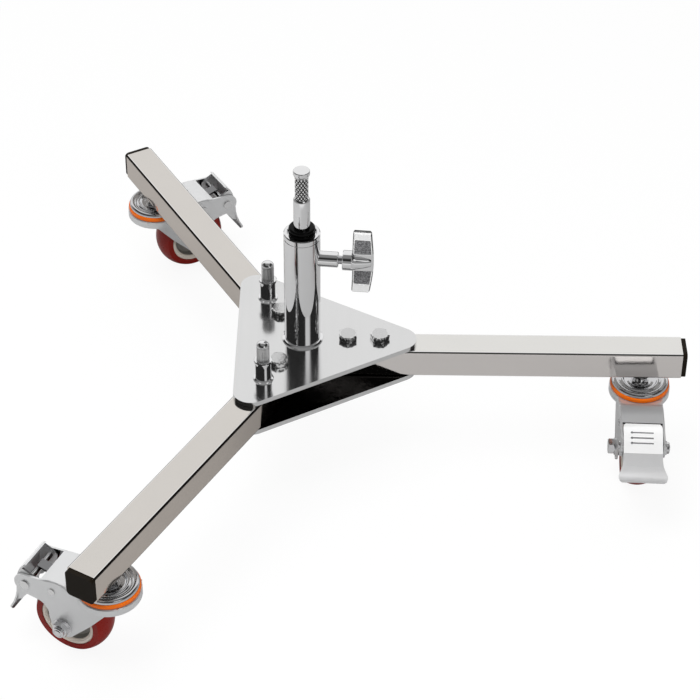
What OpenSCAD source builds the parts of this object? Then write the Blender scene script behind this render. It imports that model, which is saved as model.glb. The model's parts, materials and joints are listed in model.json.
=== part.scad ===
// Folding three-legged rolling base for a light stand, in millimetres.
// Origin: on the column axis, where the stud's plain shank leaves its rubber rings.
// +Z is up along the stud, +X runs along the fixed leg. Heights marked "leg" count from the legs' top face.

/* [Legs] */
// side of the square leg tubes
tube_w = 30; // [25:0.5:40]
// wall of the leg tubes
tube_wall = 1.5; // [1:0.1:3]
// outer corner radius of the leg tubes
tube_corner = 2.5; // [1:0.1:5]
// column axis to the tube's cut end
leg_end = 371.5; // [250:0.5:600]
// column axis to the tube's inner end
leg_start = 12; // [10:1:30]
// thickness of the square end plug's flange
cap_t = 4.5; // [2:0.5:6]
// height of the legs' top face below the origin
leg_drop = 141; // [120:1:200]

/* [Plates] */
// thickness of the top and bottom plates
plate_t = 5; // [3:0.5:10]
// column axis to a plate corner
plate_tip = 111.5; // [90:0.5:150]
// corner radius of the plates
plate_round = 17; // [8:0.5:30]
// column axis to the inner bolts, which are the folding pivots on two legs
pivot_r = 44.5; // [35:0.5:60]
// column axis to the fixed leg's outer bolt
outer_bolt_r = 75.5; // [60:0.5:95]
// column axis to the index plungers
plunger_r = 72; // [60:0.5:95]

/* [Receiver and stud] */
// outer diameter of the receiver tube
receiver_d = 35; // [30:0.5:50]
// bore of the receiver tube
receiver_bore = 28.6; // [25:0.1:40]
// height of the receiver's rim over the legs
receiver_top = 134; // [80:1:200]
// diameter of the stud's plain shank
stud_d = 15.9; // [12:0.1:20]
// length of the plain shank above the rubber rings
stud_plain = 31; // [20:1:60]
// diameter of the knurled neck
neck_d = 13; // [10:0.5:15]
// outer diameter of the rubber rings
ring_d = 25.6; // [20:0.1:28]

/* [Clamp] */
// height of the clamp axis over the legs
clamp_h = 103.5; // [60:1:125]
// turn of the clamp about the column from the fixed leg
clamp_turn = -5; // [-30:1:30]
// length of the T-handle across its wings
handle_span = 59; // [40:1:90]

/* [Casters] */
// wheel diameter
wheel_d = 75; // [50:1:125]
// wheel width
wheel_w = 30; // [20:1:45]
// column axis to the swivel axes
caster_r = 334; // [200:1:500]
// swivel axis to the axle
trail = 38.5; // [20:0.5:60]
// axle height under the legs' top face
axle_drop = 99; // [80:0.5:150]
// turn of the fixed, rear and front casters from square to their legs
caster_turn = [-2, 2, 4]; // [-180:1:180]
// pedal travel from released to pressed
pedal_turn = 48; // [20:1:60]
// swing of the brake shoe over the same travel
shoe_turn = 10.5; // [2:0.5:15]

/* [Hidden] */
$fn = 96;
e = 0.01;

// finishes
chrome = [0.78, 0.79, 0.8];
steel = [0.8, 0.79, 0.76];
plate_steel = [0.84, 0.84, 0.83];
zinc = [0.72, 0.73, 0.74];
rubber_black = [0.05, 0.05, 0.05];
tread_red = [0.42, 0.08, 0.06];
ring_orange = [0.92, 0.42, 0.06];
rim_cream = [0.86, 0.82, 0.74];

leg_top = -leg_drop;
front_a = 240;
rear_a = 120;
fold_gap = 0.2;
plate_top = plate_t + fold_gap;
plate_low = -tube_w - fold_gap - plate_t;
run = 0.06;

bolt_r = 5;
bolt_af = 17;
head_h = 6.4;
nut_h = 8;
sleeve_r = 7;
// angle, distance from the column axis and turn of the hexagon
leg_bolt_spots = [[0, pivot_r, 28], [0, outer_bolt_r, 4], [front_a, pivot_r, 18], [rear_a, pivot_r, 10]];

pin_r = 4;
collar_r = 8;
collar_top = plate_top + 23.4;
collar_roof = 3.2;
knob_r = 6.25;
knob_top = 50.4;
knob_dome = 7;
pin_tip = 0.3;
pin_shoulder = [9, 11];
spring_r = 5;
spring_wire = 0.5;
spring_turns = 3.5;

stud_base_r = receiver_bore / 2 - run;
stud_base_z = [66, 131];
ring_h = 4.7;
neck_z = [leg_drop + stud_plain + 1.6, leg_drop + 59.5];
disc_z = leg_drop + 64;

screw_r = 4;
boss_r = 7.6;
boss_end = 34.8;
tip_z = [receiver_bore / 2 + 0.05, 19];
screw_z = [19.05, 45];
hub_z = [39, 48.5, 65.5];
hub_r = [9.75, 9, 5.2];
wing_x = [48.2, 65.5];
wing_bulge = 3;
wing_t = 4.5;
wing_sweep = 9;

stem_r = 5;
journal_r = 6;
head_r = 28;
head_low = -46;
race_top = -50.2;
race_t = 2.8;
race_r = 30;
skirt_low = -58;
ball_r = 1.8;
ball_ring = 20;
fork_in = 19.5;
fork_t = 2;
fork_out = fork_in + fork_t;
axle_r = 4;
axle_af = 14;
washer_r = 8.5;
washer_t = 1.5;
axle_head_h = 6;
axle_nut_h = 6;
nut_collar = [5.9, 2.6];
axle_end = fork_out + washer_t + axle_nut_h + nut_collar[1] + 0.8;
axle = [trail, -axle_drop];
pedal_at = [76.5, -62.5];
shoe_at = [48, -59.3];
pedal_pin_r = 3;
shoe_pin_r = 2.5;
arm_end_r = 11.5;
axle_boss_r = 13;
pad_w = 19;
toe_w = 23.5;
crown_r = 26;
rim_r = 27.2;

// ---- shared shapes

module at_leg(a, r) { translate([0, 0, leg_top]) rotate(a) translate([r, 0, 0]) children(); }

module at_caster(a) { at_leg(a, caster_r) rotate(caster_turn[a / 120] - 90) children(); }

// lays a shape turned about Z along the wheel's axle direction
module across(spot, y = 0) { translate([spot[0], y, spot[1]]) rotate([-90, 0, 0]) children(); }

// extrudes an outline drawn as (trail, height) over the width y0 to y1
module side_slab(y0, y1) { translate([0, y1, 0]) rotate([90, 0, 0]) linear_extrude(y1 - y0) children(); }

module tube_section(w, r) {
  square([w - 2 * r, w], center = true);
  square([w, w - 2 * r], center = true);
  for (x = [-1, 1], y = [-1, 1]) translate([x, y] * (w / 2 - r)) circle(r);
}

module along_leg(x, len) {
  translate([x, 0, -tube_w / 2]) rotate([90, 0, 90]) linear_extrude(len) children();
}

module hex(af, h) {
  intersection() {
    cylinder(d = af / cos(30), h = h, $fn = 6);
    rotate_extrude() polygon([[0, 0], [af * 0.5, 0], [af * 0.58, af * 0.06],
      [af * 0.58, h - af * 0.06], [af * 0.5, h], [0, h]]);
  }
}

// ---- plates

// a triangle with rounded corners, one arc to each corner
module plate_outline() {
  c = plate_tip - plate_round;
  polygon([for (a = [0, 120, 240], s = [-60:5:60])
    [c * cos(a) + plate_round * cos(a + s), c * sin(a) + plate_round * sin(a + s)]]);
}

module plate(z, plungers) {
  translate([0, 0, leg_top + z]) linear_extrude(plate_t) difference() {
    plate_outline();
    for (s = leg_bolt_spots) rotate(s[0]) translate([s[1], 0]) circle(bolt_r + 0.1);
    if (plungers) for (a = [front_a, rear_a]) rotate(a) translate([plunger_r, 0]) circle(pin_r + run);
  }
}

module top_plate() { color(plate_steel) plate(fold_gap, true); }
module bottom_plate() { color(plate_steel) plate(plate_low, false); }

module leg_bolts() {
  color(chrome) for (s = leg_bolt_spots) at_leg(s[0], s[1]) {
    translate([0, 0, plate_top]) rotate(s[2]) hex(bolt_af, head_h);
    translate([0, 0, plate_low - nut_h - 3]) cylinder(r = bolt_r, h = plate_top - plate_low + nut_h + 3 + e);
  }
}

module leg_nuts() {
  color(chrome) for (s = leg_bolt_spots) at_leg(s[0], s[1]) difference() {
    translate([0, 0, plate_low - nut_h]) hex(bolt_af, nut_h);
    translate([0, 0, plate_low - nut_h - 1]) cylinder(r = bolt_r, h = nut_h + 2);
  }
}

module leg_sleeves() {
  color(steel) for (s = leg_bolt_spots) at_leg(s[0], s[1]) difference() {
    translate([0, 0, -tube_w - fold_gap]) cylinder(r = sleeve_r, h = tube_w + 2 * fold_gap);
    translate([0, 0, -tube_w - 1]) cylinder(r = bolt_r, h = tube_w + 2);
  }
}

// ---- legs

module leg(a, through, play, top_hole) {
  color(steel) at_leg(a, 0) difference() {
    along_leg(leg_start, leg_end - leg_start) difference() {
      tube_section(tube_w, tube_corner);
      tube_section(tube_w - 2 * tube_wall, tube_corner - tube_wall);
    }
    for (r = through) translate([r, 0, -tube_w - 1]) cylinder(r = sleeve_r + play, h = tube_w + 2);
    for (r = top_hole) translate([r, 0, -tube_w / 2]) cylinder(r = pin_r + 0.3, h = tube_w);
    translate([caster_r, 0, -tube_w - 1]) cylinder(r = stem_r + 0.1, h = tube_w / 2);
  }
}

module leg_cap(a) {
  color(rubber_black) at_leg(a, 0) {
    along_leg(leg_end, cap_t) tube_section(tube_w - 0.8, tube_corner + 1.7);
    along_leg(leg_end - 14, 14 + e) tube_section(tube_w - 2 * tube_wall - 0.2, 1);
  }
}

module fixed_leg() { leg(0, [pivot_r, outer_bolt_r], 0, []); }
module front_leg() { leg(front_a, [pivot_r], run, [plunger_r]); }
module rear_leg() { leg(rear_a, [pivot_r], run, [plunger_r]); }
module fixed_leg_cap() { leg_cap(0); }
module front_leg_cap() { leg_cap(front_a); }
module rear_leg_cap() { leg_cap(rear_a); }

// ---- index plungers

module plunger_collars() {
  color(chrome) for (a = [front_a, rear_a]) at_leg(a, plunger_r) rotate_extrude() polygon([
    [pin_r + run, collar_top], [collar_r + 0.4, collar_top], [collar_r + 1, collar_top - 0.6],
    [collar_r + 1, collar_top - 2], [collar_r, collar_top - 2.6], [collar_r, plate_top + 2.4],
    [collar_r + 1.4, plate_top + 1.6], [collar_r + 2, plate_top],
    [knob_r + 0.3, plate_top], [knob_r + 0.3, collar_top - collar_roof],
    [pin_r + run, collar_top - collar_roof]]);
}

module plunger(a) {
  color(zinc) at_leg(a, plunger_r) rotate_extrude() difference() {
    union() {
      polygon([[0, pin_tip], [pin_r - 1, pin_tip], [pin_r, pin_tip + 1], [pin_r, pin_shoulder[0]],
        [knob_r, pin_shoulder[0]], [knob_r, pin_shoulder[1]], [pin_r, pin_shoulder[1]],
        [pin_r, collar_top + 0.1], [knob_r, collar_top + 0.1], [knob_r, knob_top - 4.2], [0, knob_top - 4.2]]);
      intersection() {
        translate([0, knob_top - knob_dome]) circle(knob_dome);
        translate([0, knob_top - 4.3]) square([knob_r, 5]);
      }
    }
    translate([-2 * knob_r, 0]) square([2 * knob_r, knob_top + 9]);
  }
}

module front_plunger() { plunger(front_a); }
module rear_plunger() { plunger(rear_a); }

// one unbroken coil of round wire between the pin's shoulder and the collar's roof
spring_z = [pin_shoulder[1] + spring_wire + 0.05, collar_top - collar_roof - spring_wire - 0.05];
coil_sides = 6;
coil_rings = 8;
coil_steps = spring_turns * coil_rings;

function coil_point(i, k) =
  let (a = 360 * i / coil_rings, t = 360 * k / coil_sides, z = spring_z[0] + (spring_z[1] - spring_z[0]) * i / coil_steps,
       r = spring_r + spring_wire * cos(t))
  [r * cos(a), r * sin(a), z + spring_wire * sin(t)];

coil_gap = (spring_z[1] - spring_z[0]) / spring_turns - 2 * spring_wire;
echo("least gap between curls, mm", coil_gap);

module coil(a) {
  n = coil_sides;
  color(steel) at_leg(a, plunger_r) polyhedron(
    points = [for (i = [0:coil_steps], k = [0:n - 1]) coil_point(i, k)],
    faces = concat(
      [[for (k = [0:n - 1]) k]],
      [[for (k = [n - 1:-1:0]) coil_steps * n + k]],
      [for (i = [0:coil_steps - 1], k = [0:n - 1]) [i * n + k, (i + 1) * n + k, i * n + (k + 1) % n]],
      [for (i = [0:coil_steps - 1], k = [0:n - 1])
        [i * n + (k + 1) % n, (i + 1) * n + k, (i + 1) * n + (k + 1) % n]]));
}

module front_plunger_spring() { coil(front_a); }
module rear_plunger_spring() { coil(rear_a); }

// ---- receiver, stud and clamp

module at_clamp() { translate([0, 0, leg_top + clamp_h]) rotate(clamp_turn) rotate([0, 90, 0]) children(); }

module receiver_tube() {
  ro = receiver_d / 2;
  color(chrome) difference() {
    translate([0, 0, leg_top]) rotate_extrude() polygon([
      [receiver_bore / 2, plate_top], [ro, plate_top], [ro, receiver_top - 6.2], [ro - 0.4, receiver_top - 5.9],
      [ro - 0.4, receiver_top - 5.3], [ro, receiver_top - 5], [ro, receiver_top - 0.8],
      [ro - 0.8, receiver_top], [receiver_bore / 2, receiver_top]]);
    at_clamp() cylinder(r = screw_r + run, h = receiver_d);
  }
}

module receiver_foot_ring() {
  ro = receiver_d / 2;
  color(chrome) translate([0, 0, leg_top + plate_top]) rotate_extrude()
    polygon([[ro, 0], [ro + 2.8, 0], [ro + 2.4, 1.2], [ro + 1, 2.2], [ro, 2.4]]);
}

module clamp_boss() {
  color(chrome) difference() {
    at_clamp() rotate_extrude() polygon([[screw_r + run, 8], [boss_r, 8], [boss_r, boss_end - 0.8],
      [boss_r - 0.8, boss_end], [screw_r + run, boss_end]]);
    translate([0, 0, leg_top]) cylinder(r = receiver_d / 2, h = receiver_top + 5);
  }
}

module spigot() {
  rs = stud_d / 2;
  color(chrome) translate([0, 0, leg_top]) rotate_extrude() polygon([
    [0, stud_base_z[0]], [stud_base_r - 1.5, stud_base_z[0]], [stud_base_r, stud_base_z[0] + 1.5],
    [stud_base_r, stud_base_z[1] - 0.8], [stud_base_r - 0.8, stud_base_z[1]], [rs - 0.5, stud_base_z[1]],
    [rs - 0.5, leg_drop], [rs, leg_drop], [rs, leg_drop + stud_plain], [neck_d / 2 + 0.3, neck_z[0]],
    [neck_d / 2, neck_z[0]], [neck_d / 2, neck_z[1]], [rs - 0.7, neck_z[1] + 0.8],
    [rs, disc_z - 2.4], [rs, disc_z - 0.7], [rs - 0.7, disc_z], [0, disc_z]]);
}

module spigot_rings() {
  ri = stud_d / 2 - 0.5;
  color(rubber_black) translate([0, 0, leg_top + stud_base_z[1]]) for (i = [0, 1])
    rotate_extrude() translate([0, i * (ring_h + 0.1)]) {
      translate([ri, 0]) square([ring_d / 2 - ring_h / 2 - ri, ring_h]);
      translate([ring_d / 2 - ring_h / 2, ring_h / 2]) circle(ring_h / 2);
    }
}

module clamp_tip() {
  color(steel) at_clamp() translate([0, 0, tip_z[0]]) cylinder(r = screw_r - 0.7, h = tip_z[1] - tip_z[0]);
}

module clamp_screw() {
  color(zinc) at_clamp() translate([0, 0, screw_z[0]]) cylinder(r = screw_r, h = screw_z[1] - screw_z[0]);
}

// outline of the wing's swept section: it leans back at one end and forward at the other
function wing_mid(v) = -wing_sweep * pow(2 * v / handle_span, 3);

module t_handle() {
  half = handle_span / 2;
  steps = [-12:12];
  color(chrome) difference() {
    at_clamp() union() {
      rotate_extrude() polygon([[0, hub_z[0]], [hub_r[0] - 0.6, hub_z[0]], [hub_r[0], hub_z[0] + 0.6],
        [hub_r[0], hub_z[1] - 0.5], [hub_r[1], hub_z[1]], [hub_r[2] + 0.6, hub_z[2] - 2], [hub_r[2] - 1.4, hub_z[2]],
        [0, hub_z[2]]]);
      intersection() {
        translate([0, 0, wing_x[0]]) rotate(180) linear_extrude(wing_x[1] + wing_bulge - wing_x[0]) polygon(concat(
          [for (i = steps) [half * i / 12, wing_mid(half * i / 12) - wing_t / 2]],
          [for (i = steps) [-half * i / 12, wing_mid(-half * i / 12) + wing_t / 2]]));
        translate([0, 40, 0]) rotate([90, 0, 0]) linear_extrude(80) polygon(concat(
          [[-half + 1.5, wing_x[0]], [-half, wing_x[0] + 1.5]],
          [for (i = steps) [half * i / 12, wing_x[1] + wing_bulge * (1 - pow(i / 12, 2))]],
          [[half, wing_x[0] + 1.5], [half - 1.5, wing_x[0]]]));
      }
    }
    at_clamp() cylinder(r = screw_r, h = screw_z[1]);
  }
}

// ---- caster parts, drawn with +X along the trail, +Y along the leg, heights from the leg's top face

module caster_stem() {
  color(zinc) {
    translate([0, 0, race_top - race_t]) cylinder(r = stem_r, h = 40);
    translate([0, 0, race_top - race_t - 0.3 - e]) cylinder(r = journal_r, h = head_low - race_top + race_t + 0.3 + e);
    translate([0, 0, race_top - race_t - 3]) cylinder(r = 10, h = 2.7);
    translate([0, 0, -44.4]) hex(16, 2.6);
    translate([0, 0, -tube_w - 7]) hex(bolt_af, 7);
    translate([0, 0, -tube_w + tube_wall]) hex(bolt_af, nut_h);
  }
}

module caster_head() {
  color(zinc) rotate_extrude() polygon([
    [stem_r, head_low], [head_r, head_low], [head_r, -43.8], [head_r - 1.1, -42.1], [head_r - 3, -41.3],
    [22.5, -41.3], [21, -42.6], [19, -42.6], [17.5, -41.8], [15.5, -42.6], [14, -44.4], [stem_r, -44.4]]);
}

module caster_dust_ring() {
  color(ring_orange) rotate_extrude() polygon([
    [head_r - 2.5, -49.8], [head_r + 0.7, -49.8], [head_r + 1.2, -49.2], [head_r + 1.2, -46.4], [head_r + 0.5, -45.2],
    [head_r + 0.1, -45.2], [head_r + 0.1, head_low - 0.1], [head_r - 2.5, head_low - 0.1]]);
}

module caster_balls() {
  color(zinc) for (i = [0:15]) rotate(i * 22.5) translate([ball_ring, 0, head_low - 0.3 - ball_r]) sphere(r = ball_r, $fn = 32);
}

// crown line of the fork's top, as (trail, height)
fork_top = [[30, race_top], [33, -48.3], [37, -46.9], [44, -46.2], [52, -46.9], [59.5, -49]];
web_t = 2.2;

module fork_side() {
  difference() {
    union() {
      polygon(concat([for (i = [len(fork_top) - 1:-1:0]) fork_top[i]],
        [[-22, race_top], [-20.5, skirt_low + 2], [-8.5, -64], [9, -86], axle - [0.7, 0.7] * axle_boss_r, axle,
         axle + [axle_boss_r, 0], axle + [14.7, 9], [66, -75.4], pedal_at - [0, arm_end_r], pedal_at + [0, arm_end_r]]));
      translate(axle) circle(axle_boss_r);
      translate(pedal_at) circle(arm_end_r);
    }
    translate(axle + [28, 10]) circle(13.6);
    translate(axle) circle(axle_r + 0.1);
    translate(pedal_at) circle(pedal_pin_r + 0.05);
    translate(shoe_at) circle(shoe_pin_r + 0.05);
  }
}

module caster_fork() {
  crown = concat([[24, race_top - e]], fork_top);
  color(zinc) {
    for (y = [-fork_out, fork_in]) side_slab(y, y + fork_t) fork_side();
    side_slab(-fork_in - e, fork_in + e)
      polygon(concat(crown, [for (i = [len(crown) - 1:-1:0]) crown[i] - [0, web_t]]));
    rotate_extrude() polygon([[journal_r + run, race_top], [race_r - 0.8, race_top], [race_r, race_top - 0.8],
      [race_r, skirt_low], [race_r - 2, skirt_low], [race_r - 2, race_top - race_t], [journal_r + run, race_top - race_t]]);
  }
}

module caster_axle_bolt() {
  color(zinc) {
    across(axle, -fork_out - washer_t) cylinder(r = washer_r, h = washer_t);
    across(axle, -fork_out - washer_t - axle_head_h) rotate(12) hex(axle_af, axle_head_h + e);
    across(axle, -fork_out - e) cylinder(r = axle_r, h = fork_out + axle_end - 1.2);
    across(axle, axle_end - 1.2 - 2 * e) rotate_extrude() polygon([[0, 0], [axle_r, 0], [axle_r - 0.8, 1], [0, 1.2]]);
  }
}

module caster_axle_nut() {
  color(zinc) difference() {
    union() {
      across(axle, fork_out) cylinder(r = washer_r + 0.5, h = washer_t);
      across(axle, fork_out + washer_t - e) rotate(20) hex(axle_af, axle_nut_h);
      across(axle, fork_out + washer_t + axle_nut_h - 2 * e) rotate_extrude() polygon([[0, 0], [nut_collar[0], 0],
        [nut_collar[0], nut_collar[1] - 0.7], [nut_collar[0] - 0.7, nut_collar[1]], [0, nut_collar[1]]]);
    }
    across(axle, fork_out - 1) cylinder(r = axle_r, h = 15);
  }
}

module caster_rim() {
  w = wheel_w / 2;
  color(rim_cream) across(axle) rotate_extrude() polygon([
    [axle_r + run, -18.8], [9, -18.8], [10.5, -13], [13, -8], [20.5, -7], [22.4, -13], [23.4, -w + 0.9], [rim_r, -w + 0.9],
    [rim_r, w - 0.9], [23.4, w - 0.9], [22.4, 13], [20.5, 7], [13, 8], [10.5, 13], [9, 18.8], [axle_r + run, 18.8]]);
}

module caster_tread() {
  w = wheel_w / 2;
  color(tread_red) across(axle) rotate_extrude() intersection() {
    translate([wheel_d / 2 - crown_r, 0]) circle(crown_r);
    translate([rim_r, -w]) square([wheel_d / 2 - rim_r + 1, wheel_w]);
  }
}

module caster_pins() {
  color(zinc) {
    across(pedal_at, -fork_out) cylinder(r = pedal_pin_r, h = 2 * fork_out);
    across(shoe_at, -fork_out) cylinder(r = shoe_pin_r, h = 2 * fork_out);
    for (s = [-1, 1]) {
      across(pedal_at, s > 0 ? fork_out - e : -fork_out - 1.4 + e) cylinder(r = 4.6, h = 1.4);
      across(shoe_at, s > 0 ? fork_out - e : -fork_out - 0.8 + e) cylinder(r = 3.6, h = 0.8);
    }
  }
}

// one bent sheet in side view, measured from its pin: the pad above, the toe and its lip below
pedal_outer = [[1.8, 20.4], [5.4, 16.6], [8.2, 10.6], [10.2, 2.6], [11.6, -9.7], [12.1, -16], [13.2, -22.5], [14.6, -28],
  [17.2, -33.2], [18, -36]];
pedal_lip = [[17.6, -38], [15.8, -38.6]];
sheet = 1.8;
grooves = [[8.3, 11.1], [9.7, 5.7], [10.8, 0.5]];

// the same sheet seen from behind the caster, one half of its width
pedal_half = [[14.8, 21], [17.2, 20], [18.6, 18], [pad_w, 15], [pad_w, -16], [pad_w + 0.8, -22], [toe_w - 1.4, -28],
  [toe_w, -31.5], [toe_w, -34.5], [toe_w - 1.2, -37.4], [toe_w - 4, -39.2]];

// drawn pressed; a released pedal is turned about its pin with the toe out
module caster_pedal(release = 0) {
  inner = [for (i = [len(pedal_outer) - 1:-1:0]) pedal_outer[i] - [sheet, 0.3]];
  color(zinc) translate([pedal_at[0], 0, pedal_at[1]]) rotate([0, -release, 0]) difference() {
    union() {
      intersection() {
        side_slab(-toe_w, toe_w) polygon(concat(pedal_outer, pedal_lip, inner));
        rotate([90, 0, 90]) linear_extrude(30) polygon(concat(pedal_half,
          [for (i = [len(pedal_half) - 1:-1:0]) [-pedal_half[i][0], pedal_half[i][1]]]));
      }
      for (y = [-pad_w, pad_w - 2]) side_slab(y, y + 2) polygon([[3.4, 16.4], [-11, 9.5], [-11, 6], [-7.5, -5.5],
        [-0.5, -13], [7, -23.5], [12.8, -27], [11.4, -16], [10.8, -9.7], [9.4, 2.8], [7.4, 10.4], [5.2, 14.8]]);
      across([-3.5, 5.5], -pad_w + e) cylinder(r = 2.5, h = 2 * pad_w - 2 * e);
    }
    across([0, 0], -pad_w - 1) cylinder(r = pedal_pin_r + run, h = 2 * pad_w + 2);
    for (g = grooves) {
      across(g, -11) cylinder(r = 0.8, h = 21);
      translate([g[0], -11, g[1]]) sphere(r = 1.3, $fn = 24);
    }
  }
}

// drawn pressed; the released shoe is turned about its pin away from the tread
module caster_shoe(release = 0) {
  pad_half = 14;
  arm_half = 5;
  d = axle - shoe_at;
  lifted = [d[0] * cos(shoe_turn) - d[1] * sin(shoe_turn), d[0] * sin(shoe_turn) + d[1] * cos(shoe_turn)];
  color(zinc) translate([shoe_at[0], 0, shoe_at[1]]) rotate([0, release, 0]) difference() {
    union() {
      side_slab(-pad_half, pad_half) circle(3.8);
      side_slab(-pad_half, pad_half) polygon([[1, 3.4], [-14, 2.2], [-15, 1], [-15, -5], [1, -5]]);
      side_slab(-arm_half, arm_half) polygon([[1, -1], [25.5, 6.2], [25, 8.2], [0, 2.1]]);
    }
    side_slab(-pad_half - 1, pad_half + 1) {
      circle(shoe_pin_r + run);
      translate(d) circle(wheel_d / 2 + 0.3);
      translate(lifted) circle(wheel_d / 2 + 0.5);
    }
  }
}

module fixed_stem() { at_caster(0) caster_stem(); }
module fixed_swivel_head() { at_caster(0) caster_head(); }
module fixed_dust_ring() { at_caster(0) caster_dust_ring(); }
module fixed_balls() { at_caster(0) caster_balls(); }
module fixed_fork() { at_caster(0) caster_fork(); }
module fixed_axle_bolt() { at_caster(0) caster_axle_bolt(); }
module fixed_axle_nut() { at_caster(0) caster_axle_nut(); }
module fixed_wheel_rim() { at_caster(0) caster_rim(); }
module fixed_tread() { at_caster(0) caster_tread(); }
module fixed_pedal() { at_caster(0) caster_pedal(pedal_turn); }
module fixed_pins() { at_caster(0) caster_pins(); }
module fixed_brake_shoe() { at_caster(0) caster_shoe(shoe_turn); }

module front_stem() { at_caster(front_a) caster_stem(); }
module front_swivel_head() { at_caster(front_a) caster_head(); }
module front_dust_ring() { at_caster(front_a) caster_dust_ring(); }
module front_balls() { at_caster(front_a) caster_balls(); }
module front_fork() { at_caster(front_a) caster_fork(); }
module front_axle_bolt() { at_caster(front_a) caster_axle_bolt(); }
module front_axle_nut() { at_caster(front_a) caster_axle_nut(); }
module front_wheel_rim() { at_caster(front_a) caster_rim(); }
module front_tread() { at_caster(front_a) caster_tread(); }
module front_pedal() { at_caster(front_a) caster_pedal(); }
module front_pins() { at_caster(front_a) caster_pins(); }
module front_brake_shoe() { at_caster(front_a) caster_shoe(); }

module rear_stem() { at_caster(rear_a) caster_stem(); }
module rear_swivel_head() { at_caster(rear_a) caster_head(); }
module rear_dust_ring() { at_caster(rear_a) caster_dust_ring(); }
module rear_balls() { at_caster(rear_a) caster_balls(); }
module rear_fork() { at_caster(rear_a) caster_fork(); }
module rear_axle_bolt() { at_caster(rear_a) caster_axle_bolt(); }
module rear_axle_nut() { at_caster(rear_a) caster_axle_nut(); }
module rear_wheel_rim() { at_caster(rear_a) caster_rim(); }
module rear_tread() { at_caster(rear_a) caster_tread(); }
module rear_pedal() { at_caster(rear_a) caster_pedal(); }
module rear_pins() { at_caster(rear_a) caster_pins(); }
module rear_brake_shoe() { at_caster(rear_a) caster_shoe(); }

top_plate();
bottom_plate();
receiver_tube();
receiver_foot_ring();
clamp_boss();
fixed_leg();
fixed_leg_cap();
leg_bolts();
leg_nuts();
leg_sleeves();
plunger_collars();
front_leg();
front_leg_cap();
rear_leg();
rear_leg_cap();
front_plunger();
rear_plunger();
front_plunger_spring();
rear_plunger_spring();
spigot();
spigot_rings();
clamp_tip();
clamp_screw();
t_handle();
fixed_stem();
fixed_swivel_head();
fixed_dust_ring();
fixed_balls();
fixed_fork();
fixed_axle_bolt();
fixed_axle_nut();
fixed_wheel_rim();
fixed_tread();
fixed_pedal();
fixed_pins();
fixed_brake_shoe();
front_stem();
front_swivel_head();
front_dust_ring();
front_balls();
front_fork();
front_axle_bolt();
front_axle_nut();
front_wheel_rim();
front_tread();
front_pedal();
front_pins();
front_brake_shoe();
rear_stem();
rear_swivel_head();
rear_dust_ring();
rear_balls();
rear_fork();
rear_axle_bolt();
rear_axle_nut();
rear_wheel_rim();
rear_tread();
rear_pedal();
rear_pins();
rear_brake_shoe();
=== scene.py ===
"""Looks of the folding caster base for a light stand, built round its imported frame."""
import json
import math

import bmesh
import bpy
from mathutils import Matrix, Vector


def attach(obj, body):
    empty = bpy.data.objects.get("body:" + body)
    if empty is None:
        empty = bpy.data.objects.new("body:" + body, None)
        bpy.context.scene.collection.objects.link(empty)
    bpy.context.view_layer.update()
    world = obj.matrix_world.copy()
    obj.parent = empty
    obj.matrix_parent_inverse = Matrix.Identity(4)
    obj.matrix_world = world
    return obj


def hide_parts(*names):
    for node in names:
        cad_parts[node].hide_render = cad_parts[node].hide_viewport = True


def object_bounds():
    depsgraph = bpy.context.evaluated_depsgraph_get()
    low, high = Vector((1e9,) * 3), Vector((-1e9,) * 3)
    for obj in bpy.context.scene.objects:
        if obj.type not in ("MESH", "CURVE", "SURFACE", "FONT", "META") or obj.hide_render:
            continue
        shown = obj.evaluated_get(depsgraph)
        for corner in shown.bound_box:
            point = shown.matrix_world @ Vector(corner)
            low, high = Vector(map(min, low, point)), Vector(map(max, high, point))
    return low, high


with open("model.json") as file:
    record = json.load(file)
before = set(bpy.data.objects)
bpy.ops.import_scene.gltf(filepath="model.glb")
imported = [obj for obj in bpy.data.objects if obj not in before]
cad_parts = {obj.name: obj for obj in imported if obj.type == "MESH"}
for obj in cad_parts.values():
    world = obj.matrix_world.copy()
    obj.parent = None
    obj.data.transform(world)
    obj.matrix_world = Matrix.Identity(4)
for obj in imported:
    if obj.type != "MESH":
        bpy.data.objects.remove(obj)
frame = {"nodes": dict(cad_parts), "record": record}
cad_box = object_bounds()

# Sizes in millimetres and degrees. Heights count from the legs' top face, which lies at LEG_TOP.

MM = 0.001
LEG_TOP = -141
LEG_ANGLES = {"fixed": 0, "front": 240, "rear": 120}
PIVOT_R = 44.5
OUTER_BOLT_R = 75.5
PLUNGER_R = 72
CLAMP_HEIGHT = 103.5
CLAMP_TURN = -5
CASTER_R = 334
CASTER_TURNS = {"fixed": -2, "front": 4, "rear": 2}
AXLE = (38.5, -99)
PEDAL_PIN = (76.5, -62.5)
PEDAL_LEANS = {"fixed": 48, "front": 0, "rear": 0}
# radius of the closed middle of a turned shape
MIDDLE = 0.01
# angle past which an edge is drawn sharp
SHARP = math.radians(35)
# metres within which corners are the same corner
WELD = 1e-6


# Shader maths

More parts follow.
